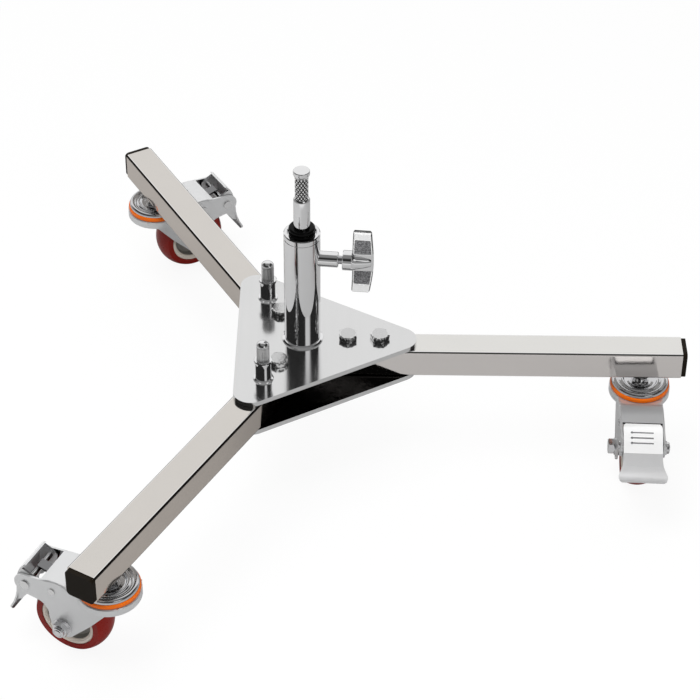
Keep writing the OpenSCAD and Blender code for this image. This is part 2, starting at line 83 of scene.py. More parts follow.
class Wire:
    """An output socket of a node. Arithmetic on it adds Math nodes."""

    def __init__(self, paint, socket):
        self.paint = paint
        self.socket = socket

    def math(self, operation, other=0.0):
        return self.paint.node("ShaderNodeMath", {"operation": operation}, self, other)

    def __add__(self, other):
        return self.math("ADD", other)

    def __sub__(self, other):
        return self.math("SUBTRACT", other)

    def __rsub__(self, other):
        return self.paint.node("ShaderNodeMath", {"operation": "SUBTRACT"}, other, self)

    def __mul__(self, other):
        return self.math("MULTIPLY", other)

    def __truediv__(self, other):
        return self.math("DIVIDE", other)

    __radd__ = __add__
    __rmul__ = __mul__

    def ramp(self, low, high):
        """Goes smoothly from 0 to 1 while the value goes from low to high."""
        return self.paint.node("ShaderNodeMapRange", {"interpolation_type": "SMOOTHSTEP"}, self, low, high)

    def band(self, start, full, past, end):
        """1 between full and past, 0 before start and after end."""
        return self.ramp(start, full) * (1 - self.ramp(past, end))


class Paint:
    """A node tree that is filled one node at a time."""

    def __init__(self, tree):
        self.tree = tree
        tree.nodes.clear()

    def node(self, kind, settings=None, *values, out=0, places=None, **named):
        """The output of a new node. Sockets are filled in order, by their places or by their names."""
        made = self.tree.nodes.new(kind)
        for key, value in (settings or {}).items():
            setattr(made, key, value)
        sockets = [*enumerate(values), *(places or {}).items()]
        sockets += [(name.replace("_", " "), value) for name, value in named.items()]
        for key, value in sockets:
            if isinstance(value, Wire):
                self.tree.links.new(value.socket, made.inputs[key])
            else:
                made.inputs[key].default_value = value
        return Wire(self, made.outputs[out])

    def principled(self, **sockets):
        return self.node("ShaderNodeBsdfPrincipled", None, **sockets)

    def noise(self, scale, detail, stretch=(1, 1, 1)):
        """Noise on the object in its own metres, stretched along its axes."""
        where = self.node("ShaderNodeTexCoord", out="Object")
        vector = self.node("ShaderNodeMapping", None, Vector=where, Scale=stretch)
        return self.node("ShaderNodeTexNoise", None, Vector=vector, Scale=scale, Detail=detail, out="Fac")

    def drift(self):
        """The slow change from place to place of any polished or plated metal."""
        return self.noise(9.0, 3.0)

    def part(self, vector, axis):
        """The X, Y or Z of a vector."""
        return self.node("ShaderNodeSeparateXYZ", None, vector, out=axis)

    def mix(self, amount, first, second):
        """Goes from the first colour to the second."""
        sockets = {0: amount, 6: first, 7: second}
        return self.node("ShaderNodeMix", {"data_type": "RGBA"}, out=2, places=sockets)

    def bump(self, height, distance):
        return self.node("ShaderNodeBump", None, Height=height, Distance=distance, Strength=1.0)

    def finish(self, shader, kind="ShaderNodeOutputMaterial"):
        output = self.tree.nodes.new(kind)
        self.tree.links.new(shader.socket, output.inputs["Surface"])


def rgb(red, green, blue):
    """A colour from 0 to 255 screen levels."""
    def linear(level):
        level /= 255
        return level / 12.92 if level <= 0.04045 else ((level + 0.055) / 1.055) ** 2.4
    return (linear(red), linear(green), linear(blue), 1.0)


def grey(level):
    return (level, level, level, 1)


def scaled(colour, by):
    return tuple(c * by for c in colour[:3]) + (1.0,)


finishes = {}


def finish(name):
    """Keeps the material that the function under it makes."""
    def keep(make):
        material = bpy.data.materials.new(name)
        material.use_nodes = True
        paint = Paint(material.node_tree)
        paint.finish(make(paint))
        finishes[name] = material
        return make
    return keep


def metal(paint, colour, rough, spread, grain, bump=0.0, stretch=(1, 1, 1), **constants):
    """Bare or plated metal: its polish and tone change a little from place to place."""
    drift = paint.drift()
    fine = paint.noise(grain, 4.0, stretch)
    if bump:
        constants["Normal"] = paint.bump(fine, bump)
    tone = paint.mix(drift * 0.6 + fine * 0.4, scaled(colour, 0.93), scaled(colour, 1.05))
    polish = rough + spread * (fine - 0.5) + 0.4 * spread * (drift - 0.5)
    return paint.principled(**{"Metallic": 1.0, "Base_Color": tone, "Roughness": polish, **constants})


def moulded(paint, scale, dark, pale, rough, bump=0.0, **constants):
    """Plastic, rubber or rough casting: its colour and polish follow one pattern of noise."""
    pattern = paint.noise(scale, 3.0)
    colour = paint.mix(pattern, dark, pale)
    if bump:
        constants["Normal"] = paint.bump(pattern, bump)
    return paint.principled(Base_Color=colour, Roughness=rough + 0.1 * pattern, **constants)


def square_tube(paint, top, side, painted_highlight, dark, shade):
    """Polished tube with painted light: a warmer side, the top and side tones painted as light and
    reflection, and rounded corners with a painted highlight line over a painted dark reflection line.
    painted_highlight and dark are how far up the corner a line starts, is full, starts to end and ends; shade
    is the dark line's colour."""
    up = paint.part(paint.node("ShaderNodeNewGeometry", out="Normal"), "Z").math("ABSOLUTE")
    drift = paint.drift()
    fine = paint.noise(60.0, 4.0)
    # The top and the side get their own tones by the face's direction: painted light and reflection.
    colour = paint.mix(up.ramp(0.4, 0.7), side, top)
    colour = paint.mix(drift * 0.6 + fine * 0.4, paint.mix(0.07, colour, grey(0)), colour)
    # Painted highlight: a near-white line on the upper part of the rounded corners.
    colour = paint.mix(up.band(*painted_highlight), colour, (0.98, 0.98, 0.97, 1))
    # Painted dark reflection across the rounded corners, below the highlight, in the shade colour.
    colour = paint.mix(up.band(*dark), colour, shade)
    return paint.principled(Base_Color=colour, Metallic=1.0, Roughness=0.06 + 0.02 * drift + 0.02 * fine)


@finish("polished_tube")
def polished_tube(paint):
    # The side and top tones, the highlight band and the dark corner shade are painted light and reflection.
    return square_tube(paint, top=(0.66, 0.63, 0.595, 1), side=(0.60, 0.54, 0.487, 1),
                       painted_highlight=(0.93, 0.95, 0.97, 0.99), dark=(0.05, 0.2, 0.88, 0.94),
                       shade=(0.03, 0.028, 0.025, 1))


@finish("painted_bright_tube")
def painted_bright_tube(paint):
    """The fixed leg's tube, painted a little brighter than the other two as light, with its own painted
    highlight and paler painted corner shade.
    """
    return square_tube(paint, top=(0.76, 0.75, 0.725, 1), side=(0.84, 0.80, 0.775, 1),
                       painted_highlight=(0.86, 0.90, 0.975, 0.99), dark=(0.66, 0.72, 0.82, 0.88),
                       shade=(0.24, 0.235, 0.225, 1))


@finish("brushed_plate")
def brushed_plate(paint):
    return metal(paint, grey(0.70), rough=0.13, spread=0.10, grain=260.0, bump=0.00002,
                 stretch=(1, 0.05, 1))


@finish("shaded_plate")
def shaded_plate(paint):
    """The lower plate keeps bright edges, and its upper, inner face, under the upper plate, is painted near
    black as shade.
    """
    painted_shade_face = paint.part(paint.node("ShaderNodeNewGeometry", out="Normal"), "Z").ramp(0.9, 0.99)
    grain = paint.noise(260.0, 4.0, (1, 0.05, 1))
    # Painted shade: the upward face goes near black.
    colour = paint.mix(painted_shade_face, paint.mix(grain, grey(0.66), grey(0.74)), (0.035, 0.034, 0.033, 1))
    return paint.principled(Base_Color=colour, Metallic=1.0, Roughness=0.13 + 0.1 * grain)


@finish("chrome_plate")
def chrome_plate(paint):
    return metal(paint, (0.78, 0.78, 0.785, 1), rough=0.035, spread=0.02, grain=70.0)


@finish("bolt_plate")
def bolt_plate(paint):
    return metal(paint, grey(0.74), rough=0.05, spread=0.03, grain=100.0)


@finish("bolt_top")
def bolt_top(paint):
    """The bolt heads' top faces, a little uneven."""
    uneven = paint.bump(paint.noise(800.0, 3.0), 0.0002)
    return metal(paint, grey(0.60), rough=0.26, spread=0.10, grain=300.0, Normal=uneven)


@finish("plain_steel")
def plain_steel(paint):
    return metal(paint, (0.45, 0.45, 0.46, 1), rough=0.28, spread=0.10, grain=400.0, bump=0.00001)


@finish("knurled_steel")
def knurled_steel(paint):
    return metal(paint, grey(0.92), rough=0.14, spread=0.06, grain=500.0)


# The knurl's valleys, painted near black as shade.
@finish("painted_knurl_shade")
def painted_knurl_shade(paint):
    return metal(paint, grey(0.04), rough=0.3, spread=0.1, grain=500.0)


@finish("ribbed_steel")
def ribbed_steel(paint):
    return metal(paint, grey(0.72), rough=0.30, spread=0.10, grain=500.0)


@finish("dark_panel")
def dark_panel(paint):
    """The sunk panels of the handle, rough and dark."""
    grain = paint.noise(900.0, 4.0)
    colour = paint.mix(grain.ramp(0.3, 0.7), rgb(70, 70, 72), rgb(150, 150, 152))
    return paint.principled(Base_Color=colour, Metallic=0.15, Roughness=0.5 + 0.2 * grain,
                            Normal=paint.bump(grain, 0.0004))


@finish("bright_cast")
def bright_cast(paint):
    return moulded(paint, 120.0, rgb(244, 244, 244), rgb(253, 253, 253), rough=0.22, Metallic=0.25)


@finish("painted_edge_shade")
def painted_edge_shade(paint):
    """The handle's rounded edges, painted dark as shade."""
    return metal(paint, grey(0.22), rough=0.2, spread=0.08, grain=200.0)


@finish("zinc_steel")
def zinc_steel(paint):
    return metal(paint, (0.72, 0.725, 0.73, 1), rough=0.30, spread=0.06, grain=60.0, Metallic=0.65)


@finish("painted_lit_pad")
def painted_lit_pad(paint):
    """The pedal's pad above the fold, painted brighter than the toe as light."""
    return metal(paint, grey(0.97), rough=0.32, spread=0.06, grain=90.0, Metallic=0.2)


@finish("pedal_toe")
def pedal_toe(paint):
    return metal(paint, (0.78, 0.78, 0.785, 1), rough=0.30, spread=0.06, grain=90.0, Metallic=0.5)


@finish("groove_shade")
def groove_shade(paint):
    return moulded(paint, 300.0, rgb(128, 128, 130), rgb(150, 150, 152), rough=0.5, Metallic=0.3)


@finish("painted_shade_crown")
def painted_shade_crown(paint):
    """The flat top of the fixed leg's fork, its zinc painted darker as shade."""
    return metal(paint, (0.44, 0.44, 0.445, 1), rough=0.42, spread=0.06, grain=60.0, Metallic=0.4)


# Painted shade for the insides of the forks and pedals and for the brake shoes.
@finish("painted_inner_shade")
def painted_inner_shade(paint):
    return metal(paint, (0.20, 0.20, 0.205, 1), rough=0.14, spread=0.08, grain=90.0)


@finish("bright_zinc")
def bright_zinc(paint):
    return metal(paint, (0.76, 0.76, 0.77, 1), rough=0.13, spread=0.05, grain=80.0)


@finish("rolled_zinc")
def rolled_zinc(paint):
    return metal(paint, (0.60, 0.60, 0.61, 1), rough=0.11, spread=0.05, grain=80.0)


@finish("grey_dish")
def grey_dish(paint):
    return moulded(paint, 80.0, rgb(128, 124, 118), rgb(156, 152, 146), rough=0.36, Metallic=0.2)


@finish("cream_plastic")
def cream_plastic(paint):
    return moulded(paint, 60.0, rgb(240, 228, 214), rgb(250, 240, 228), rough=0.38)


@finish("orange_plastic")
def orange_plastic(paint):
    return moulded(paint, 40.0, rgb(240, 104, 0), rgb(250, 122, 8), rough=0.36,
                   Specular_IOR_Level=0.3)


@finish("cap_plastic")
def cap_plastic(paint):
    return moulded(paint, 1200.0, rgb(20, 15, 9), rgb(30, 24, 16), rough=0.6, bump=0.00005,
                   Specular_IOR_Level=0.12)


@finish("black_rubber")
def black_rubber(paint):
    return moulded(paint, 900.0, rgb(2, 2, 2), rgb(8, 8, 8), rough=0.12, bump=0.00004,
                   Specular_IOR_Level=0.10)


@finish("dark_red_rubber")
def dark_red_rubber(paint):
    grain = paint.noise(700.0, 2.0)
    colour = paint.mix(paint.noise(50.0, 3.0), rgb(136, 19, 8), rgb(148, 27, 13))
    return paint.principled(Base_Color=colour, Roughness=0.24 + 0.1 * grain, Specular_IOR_Level=0.22,
                            Normal=paint.bump(grain, 0.00003))


# Finishes of the CAD nodes

# The fixed leg's brighter tube, the lower plate's dark upper face and the brake shoes' dark finish are
# painted light and shade.
OWN_LOOKS = {"_cap": "cap_plastic", "leg_nuts": "bolt_plate", "bottom_plate": "shaded_plate",
             "fixed_leg": "painted_bright_tube", "_axle_bolt": "bright_zinc", "_axle_nut": "bright_zinc",
             "_pins": "bolt_plate", "_stem": "bright_zinc", "_brake_shoe": "painted_inner_shade"}


def node_look(row):
    """The finish of a CAD node: its slot's, or one of its own by the end of its name."""
    own = [look for ending, look in OWN_LOOKS.items() if row["node"].endswith(ending)]
    return own[-1] if own else row["material_slot"]


for row in frame["record"]["subparts"]:
    for slot in frame["nodes"][row["node"]].material_slots:
        slot.material = finishes[node_look(row)]


# Making of pieces

def piece(name, points, faces, body, looks, hides, choose=None):
    """A closed mesh that rides on a body and stands in for a CAD node.
    choose gives a face's finish from its middle."""
    mesh = bpy.data.meshes.new(name)
    mesh.from_pydata([Vector(p) for p in points], [], faces)
    shape = bmesh.new()
    shape.from_mesh(mesh)
    bmesh.ops.remove_doubles(shape, verts=shape.verts, dist=WELD)
    bmesh.ops.recalc_face_normals(shape, faces=shape.faces)
    shape.to_mesh(mesh)
    shape.free()
    for look in looks:
        mesh.materials.append(finishes[look])
    if choose:
        for face in mesh.polygons:
            face.material_index = choose(face.center)
    mesh.shade_smooth()
    mesh.set_sharp_from_angle(angle=SHARP)
    made = bpy.data.objects.new(name, mesh)
    bpy.context.collection.objects.link(made)
    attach(made, body)
    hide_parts(hides)


def bands(rings, columns):
    """The faces between rings of points."""
    faces = []
    for k in range(rings - 1):
        for i in range(columns):
            j = (i + 1) % columns
            faces.append((k * columns + i, k * columns + j, (k + 1) * columns + j, (k + 1) * columns + i))
    return faces


def ends(points, columns):
    """The faces that close the first and the last ring."""
    return [tuple(range(columns)), tuple(range(len(points) - columns, len(points)))]


def turned(profile, columns, ripple=None):
    """Points and faces of a profile of (radius, height) turned about Z. ripple moves a radius in or out."""
    points = []
    for radius, height in profile:
        for i in range(columns):
            angle = 2 * math.pi * i / columns
            r = radius + (ripple(radius, height, angle) if ripple else 0)
            points.append((r * math.cos(angle), r * math.sin(angle), height))
    return points, bands(len(profile), columns)


def shifted(faces, by):
    """The same faces for points that come later in a list."""
    return [tuple(by + i for i in face) for face in faces]


def upright(points, lift=LEG_TOP * MM, place=Matrix()):
    """Points in millimetres over the legs' top face, set in the frame."""
    return [place @ Vector((x * MM, y * MM, z * MM + lift)) for x, y, z in points]


def saw(value):
    """0 on whole numbers, 1 half way between them."""
    return 1 - abs(2 * (value % 1) - 1)


def steps(low, high, count):
    return [low + (high - low) * i / count for i in range(count + 1)]


def turn_z(degrees):
    return Matrix.Rotation(math.radians(degrees), 4, "Z")


# Stud, plungers, handle and bolts

def lighting_stud():
    """The stud: a fat foot inside the receiver, a plain shank, a knurled neck and an end disc."""
    foot, rim, seat, plain, neck, disc = 66, 131, 141, 172, (174, 197.8), 205
    foot_r, core_r, shank_r, neck_r, knurl_r = 14.24, 7.45, 7.95, 6.3, 6.5
    valley_r, knurl_outside = 6.0, 6.6
    diamonds_round, diamond_height, depth, broadness = 12, 5.0, 1.0, 1.6
    columns, knurl_rings = 264, 96
    knurl = [(knurl_r, z) for z in steps(neck[0] + 0.4, neck[1] - 0.3, knurl_rings)]
    profile = [(MIDDLE, foot), (foot_r - 1.54, foot), (foot_r, foot + 1.5), (foot_r, rim - 0.8),
               (13.4, rim), (core_r, rim), (core_r, seat), (shank_r, seat), (shank_r, plain - 0.3),
               (7.8, plain), (6.9, neck[0] - 0.4), (neck_r, neck[0]), *knurl, (neck_r, neck[1]),
               (7.0, neck[1] + 0.9), (7.75, disc - 4.4), (shank_r, disc - 3.9), (shank_r, disc - 3.8),
               (shank_r, disc - 1.0), (shank_r, disc - 0.9), (7.5, disc - 0.1), (7.3, disc), (MIDDLE, disc)]

    def diamonds(radius, height, angle):
        """The knurl: broad faces with narrow valleys between them."""
        if radius != knurl_r:
            return 0
        across = diamonds_round * angle / (2 * math.pi)
        along = (height - neck[0]) / diamond_height
        return depth * (min(1, broadness * min(saw(across + along), saw(across - along))) - 1)

    def zone(centre):
        radius = math.hypot(centre.x, centre.y) / MM
        height = (centre.z - LEG_TOP * MM) / MM
        if not neck[0] < height < neck[1] or radius > knurl_outside:
            return 0
        # Faces in the valleys take the painted shade, the rest of the knurl the bright steel.
        return 2 if radius < valley_r else 1

    points, faces = turned(profile, columns, diamonds)
    faces += ends(points, columns)
    piece("lighting_stud", upright(points), faces, "stud",
          ["chrome_plate", "knurled_steel", "painted_knurl_shade"], "spigot", zone)


def index_plunger(side):
    """A plunger's pin with its shoulder, and its grooved knob under a round top."""
    tip, shoulder, collar, top = 0.3, (9, 11), 28.7, 50.4
    pin_r, shoulder_r, knob_r, dome_r = 4, 6.25, 6.24, 7
    grooves_round, groove_depth, columns = 26, 0.6, 216
    dome_edge = 1.08
    dome = [(dome_r * math.sin(a) if a else MIDDLE, top - dome_r + dome_r * math.cos(a))
            for a in steps(dome_edge, 0, 9)]
    knob = [(knob_r, z) for z in steps(collar + 0.6, top - 4.6, 6)]
    profile = [(MIDDLE, tip), (pin_r - 1, tip), (pin_r, tip + 1), (pin_r, shoulder[0]),
               (shoulder_r, shoulder[0]), (shoulder_r, shoulder[1]), (pin_r, shoulder[1]), (pin_r, collar),
               (5.7, collar), *knob, (6.22, top - 4.1), *dome]

    def grooves(radius, height, angle):
        return -groove_depth * saw(grooves_round * angle / (2 * math.pi)) ** 2 if radius == knob_r else 0

    def zone(centre):
        return 1 if (collar + 0.3) * MM < centre.z - LEG_TOP * MM < (top - 4.2) * MM else 0

    points, faces = turned(profile, columns, grooves)
    faces += ends(points, columns)
    turn = math.radians(LEG_ANGLES[side])
    place = Matrix.Translation((PLUNGER_R * MM * math.cos(turn), PLUNGER_R * MM * math.sin(turn), 0))
    piece(f"{side}_index_plunger", upright(points, place=place), faces, f"{side}_plunger",
          ["chrome_plate", "ribbed_steel"], f"{side}_plunger", zone)


WING_HALF = 29.5
WING_ENDS = (48.2, 65.5)
WING_BULGE = 3
WING_THICK = 4.6
WING_SWEEP = 9
# ends of the sunk panel, counted from the clamp's axis
PANEL = (9, 23.5)


def wing_middle(v):
    """How far the wing is swept forward at a distance from the clamp's axis."""
    return -WING_SWEEP * (v / WING_HALF) ** 3


def wing_outer(v):
    """How far out along the clamp the wing's bulging edge lies."""
    return WING_ENDS[1] + WING_BULGE * (1 - (v / WING_HALF) ** 2)


def panel_share(v):
    """1 where the wing has its sunk panel, 0 past the panel's ends."""
    v = abs(v)
    return min(1, max(0, (v - PANEL[0]) / 2)) * min(1, max(0, (PANEL[1] - v) / 1.5))


def wing_ring(v):
    """The wing's section at a distance from the clamp's axis, as points round it."""
    end_round, inset = 2.2, 1.2
    end = max(0, (abs(v) - (WING_HALF - end_round)) / end_round)
    ease = math.sqrt(max(0.02, 1 - end * end))
    t = WING_THICK / 2 * ease
    low, high = WING_ENDS[0] + inset * (1 - ease), wing_outer(v) - inset * (1 - ease)
    sunk = t - 0.9 * panel_share(v) * ease
    side = [(low, t - 0.9), (low + 0.35, t - 0.25), (low + 0.9, t), (low + 1.7, t), (low + 2.1, sunk),
            ((low + high) / 2, sunk), (high - 2.1, sunk), (high - 1.7, t), (high - 0.9, t),
            (high - 0.35, t - 0.25), (high, t - 0.9), (high + 0.1, 0)]
    ring = side + [(along, -out) for along, out in reversed(side[:-1])] + [(low - 0.1, 0)]
    return [(-v, -(wing_middle(v) + out), along) for along, out in ring]


def clamp_t_handle():
    """The handle: two swept wings on a tapered hub with a blind bore for the screw."""
    hub_columns = 72
    place = (Matrix.Translation((0, 0, LEG_TOP * MM + CLAMP_HEIGHT * MM)) @ turn_z(CLAMP_TURN)
             @ Matrix.Rotation(math.pi / 2, 4, "Y"))
    rings = [wing_ring(v) for v in steps(-WING_HALF, WING_HALF, 88)]
    section = len(rings[0])
    points = [point for ring in rings for point in ring]
    faces = bands(len(rings), section) + ends(points, section)
    bore_r, start, bore_end = 4.05, 39, 45
    hub = [(bore_r, start), (9.2, start), (9.75, start + 0.6), (9.75, 47.6), (9.3, 48.2), (8.9, 48.6),
           (8.2, 52), (7.2, 56.8), (6.1, 61.6), (5.2, 65), (4.3, 66.3), (MIDDLE, 66.7)]
    bore = [(bore_r, start), (bore_r, bore_end), (MIDDLE, bore_end)]
    for profile in (hub, bore):
        more_points, more_faces = turned(profile, hub_columns)
        faces += shifted(more_faces, len(points))
        points += more_points

    def zone(centre):
        """Edges painted dark as shade, sunk panels and bright faces on the wings, chrome on the hub."""
        hub_reach, shaded_edge, shaded_end, panel_edge = 10, 0.75, 0.8, 1.9
        spot = place.inverted() @ centre
        v, out, along = -spot.x / MM, -spot.y / MM, spot.z / MM
        off = abs(out - wing_middle(v))
        edge = min(along - WING_ENDS[0], wing_outer(v) - along)
        # Painted shade along the wings' edges and ends.
        if abs(v) > hub_reach and (edge < shaded_edge or abs(v) > WING_HALF - shaded_end):
            return 3
        if panel_share(v) > 0.5 and edge > panel_edge and off < WING_THICK / 2 - 0.3 and abs(v) > PANEL[0]:
            return 1
        return 2 if abs(v) > hub_reach else 0

    piece("t_handle_wings", upright(points, 0, place), faces, "clamp_handle",
          ["chrome_plate", "dark_panel", "bright_cast", "painted_edge_shade"], "t_handle", zone)


def hub_bolts():
    """Hexagon bolts with a round chamfer and a washer face, and their shanks down through the nuts."""
    seat, top, low = 5.2, 11.6, -46.2
    half_flats, corner_r, washer_r, shank_r = 8.5, 9.9, 8.2, 5
    columns = 72
    spots = (("fixed", PIVOT_R, 28), ("fixed", OUTER_BOLT_R, -8),
             ("front", PIVOT_R, 18), ("rear", PIVOT_R, 10))
    profile = [(MIDDLE, top), (6.9, top), (7.6, top - 0.06), (8.3, top - 0.35), (corner_r, top - 1.2),
               (corner_r, seat + 1.2), (9.3, seat + 0.75), (washer_r, seat + 0.7), (washer_r, seat),
               (shank_r, seat), (shank_r, low), (MIDDLE, low)]

    def flats(radius, height, angle):
        """Cuts the turned head back to its six flats."""
        return min(0, half_flats / math.cos(math.radians(math.degrees(angle) % 60 - 30)) - radius)

    one, one_faces = turned(profile, columns, flats)
    one_faces += ends(one, columns)
    points, faces = [], []
    for side, radius, turn in spots:
        place = turn_z(LEG_ANGLES[side]) @ Matrix.Translation((radius * MM, 0, 0)) @ turn_z(turn)
        faces += shifted(one_faces, len(points))
        points += upright(one, place=place)
    piece("hub_bolts", points, faces, "base", ["bolt_plate", "bolt_top"], "leg_bolts",
          lambda centre: 1 if centre.z - LEG_TOP * MM > (top - 0.1) * MM else 0)


# Casters

def at_caster(side):
    """The caster's own axes: X along its trail, Y along the axle, Z up from the legs' top face."""
    angle = math.radians(LEG_ANGLES[side])
    spot = (CASTER_R * MM * math.cos(angle), CASTER_R * MM * math.sin(angle), LEG_TOP * MM)
    return Matrix.Translation(spot) @ Matrix.Rotation(angle + math.radians(CASTER_TURNS[side] - 90), 4, "Z")


def wheel_rim(side):
    """A cream rim round a dished grey web with a steel bearing hub, the same on both faces."""
    bearing_r, web_r = 12.2, 22.6
    half = [(4.2, 18.8), (8.2, 18.8), (9, 18.2), (9.2, 14.2), (9.6, 13.6), (11.4, 12.8), (12, 11.6),
            (12.4, 8.6), (13.4, 7.4), (15, 7), (19.4, 6.6), (20.8, 7.2), (21.8, 9), (22.4, 11.8),
            (22.9, 12.9), (23.9, 13.3), (24.3, 13.9), (24.9, 14.1), (26.8, 14.1), (27.2, 13.6)]
    profile = half + [(radius, -out) for radius, out in reversed(half)] + half[:1]
    points, faces = turned(profile, 120)
    axle = Matrix.Translation((AXLE[0] * MM, 0, AXLE[1] * MM))
    place = at_caster(side) @ axle @ Matrix.Rotation(-math.pi / 2, 4, "X")

    def zone(centre):
        spot = place.inverted() @ centre
        radius = math.hypot(spot.x, spot.y) / MM
        if radius < bearing_r:
            return 2
        return 1 if radius < web_r else 0

    piece(f"{side}_rim", upright(points, 0, place), faces, f"{side}_wheel",
          ["cream_plastic", "grey_dish", "bright_zinc"], f"{side}_wheel_rim", zone)


def swivel_head(side):
    """The rolled cap over the ball race, with its rings."""
    bore_r, cap_r, low, plate = 5.1, 28, -46, -44.4
    rolled_edge = [(cap_r, -43.9), (27.6, -42.9), (26.8, -42.0), (25.6, -41.45), (24.4, -41.3), (23.2, -41.5)]
    outer_ring = [(22.3, -42.1), (21.6, -42.8), (20.8, -43.0), (20.0, -42.7), (19.2, -42.0), (18.3, -41.7)]
    inner_ring = [(17.4, -41.9), (16.6, -42.6), (15.9, -43.4), (15, -44.0), (14, plate), (12.6, -44.3)]
    middle_ring = [(11.8, -43.9), (10.8, -43.8), (9.9, -44.2), (9.2, plate)]
    profile = [(bore_r, low), (cap_r, low), *rolled_edge, *outer_ring, *inner_ring, *middle_ring,
               (bore_r, plate), (bore_r, low)]
    points, faces = turned(profile, 144)
    body = "base" if side == "fixed" else f"{side}_leg"
    points = upright(points, 0, at_caster(side))
    piece(f"{side}_rolled_cap", points, faces, body, ["rolled_zinc"], f"{side}_swivel_head")


def folded_sheet(side, node, on_cut, cut, on_bend=None, bend=0.0, crease=None):
    """A copy of a sheet metal node's mesh with its bends and cut edges rounded by that many millimetres.
    on_bend and on_cut say whether a point may lie on one, and crease is a plane that splits the faces."""
    source = frame["nodes"][f"{side}_{node}"]
    to_caster = at_caster(side).inverted() @ source.matrix_world
    shape = bmesh.new()
    shape.from_mesh(source.data)
    bmesh.ops.remove_doubles(shape, verts=shape.verts, dist=WELD)
    bmesh.ops.dissolve_limit(shape, angle_limit=math.radians(2), verts=shape.verts, edges=shape.edges)
    if crease:
        spot = to_caster.inverted() @ (crease[0] * MM)
        across = to_caster.to_3x3().inverted() @ crease[1]
        everything = [*shape.verts, *shape.edges, *shape.faces]
        bmesh.ops.bisect_plane(shape, geom=everything, plane_co=spot, plane_no=across)

    def round_off(test, least, size, segments):
        """Rounds the edges whose ends pass the test and whose faces meet at the least angle or more."""
        chosen = [edge for edge in shape.edges
                  if len(edge.link_faces) == 2 and edge.calc_face_angle() > math.radians(least)
                  and all(test(to_caster @ v.co / MM) for v in edge.verts)]
        bmesh.ops.bevel(shape, geom=chosen, offset=size * MM, segments=segments, profile=0.5,
                        affect="EDGES", clamp_overlap=True)

    if on_bend:
        round_off(on_bend, 30, bend, 5)
    round_off(on_cut, 50, cut, 2)
    mesh = bpy.data.meshes.new(f"{side}_{node}_sheet")
    shape.to_mesh(mesh)
    shape.free()
    return mesh


def pressed_piece(side, node, body, mesh, looks, choose):
    """Puts a rounded sheet in its node's place. Its flat sides stay flat.
    choose gives a face's finish from its corners and its normal in the caster's own axes."""
    source = frame["nodes"][f"{side}_{node}"]
    to_caster = at_caster(side).inverted() @ source.matrix_world
    mesh.materials.clear()
    for look in looks:
        mesh.materials.append(finishes[look])
    mesh.shade_smooth()
    mesh.set_sharp_from_angle(angle=SHARP)
    spots = [to_caster @ v.co / MM for v in mesh.vertices]
    for face in mesh.polygons:
        normal = to_caster.to_3x3() @ face.normal
        face.material_index = choose([spots[v] for v in face.vertices], normal)
        if abs(normal.y) > 0.999:
            face.use_smooth = False
    made = bpy.data.objects.new(mesh.name, mesh)
    made.matrix_world = source.matrix_world.copy()
    bpy.context.collection.objects.link(made)
    even = made.modifiers.new("even_normals", "WEIGHTED_NORMAL")
    even.keep_sharp = True
    even.weight = 100
    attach(made, f"{side}_{body}")
    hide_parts(f"{side}_{node}")


def fork(side):
    """The fork's looks: zinc, painted dark as shade inside its cheeks and crown. The fixed leg's crown is
    painted darker on top as shade.
    """
    cheek_out, crown, crown_low = 21.5, (29.8, 60), -50.4
    skirt_reach, skirt_low = 31, -59

    def on_crown_edge(p):
        return abs(abs(p.y) - cheek_out) < 0.05 and crown[0] < p.x < crown[1] and p.z > crown_low

    def past_skirt(p):
        return p.x > skirt_reach or p.z < skirt_low

    def zone(spots, normal):
        middle = sum(spots, Vector()) / len(spots)
        underside = normal.z < -0.7
        front_cut = normal.x > 0.7 and abs(middle.y) < 20
        inner_side = normal.y * middle.y < 0 and abs(normal.y) > 0.9
        # Painted shade on the crown's underside and front cut and inside the cheeks; painted darker shade on
        # the fixed fork's crown top.
        if middle.x > 30 and (underside or front_cut or inner_side):
            return 1
        return 2 if side == "fixed" and normal.z > 0.7 and middle.x > 29 else 0

    mesh = folded_sheet(side, "fork", past_skirt, 0.5, on_crown_edge, 2.6)
    pressed_piece(side, "fork", "swivel", mesh, ["zinc_steel", "painted_inner_shade", "painted_shade_crown"], zone)


# the pedal's pressed grooves as (X, Z) from its pin, their ends along Y, and the radii of groove and dot
GROOVES = ((8.3, 11.1), (9.7, 5.7), (10.8, 0.5))
GROOVE_ENDS = (-11, 10)
GROOVE_R = 0.8
DOT_R = 1.3


def in_groove(spot):
    """Whether a point of the pedal, measured from its pin, lies in a groove or in the dot at its end."""
    slack = 0.1
    for x, z in GROOVES:
        off = math.hypot(spot.x - x, spot.z - z)
        between = GROOVE_ENDS[0] - 2 * slack < spot.y < GROOVE_ENDS[1] + 2 * slack
        if between and off < GROOVE_R + slack or math.hypot(off, spot.y - GROOVE_ENDS[0]) < DOT_R + slack:
            return True
    return False


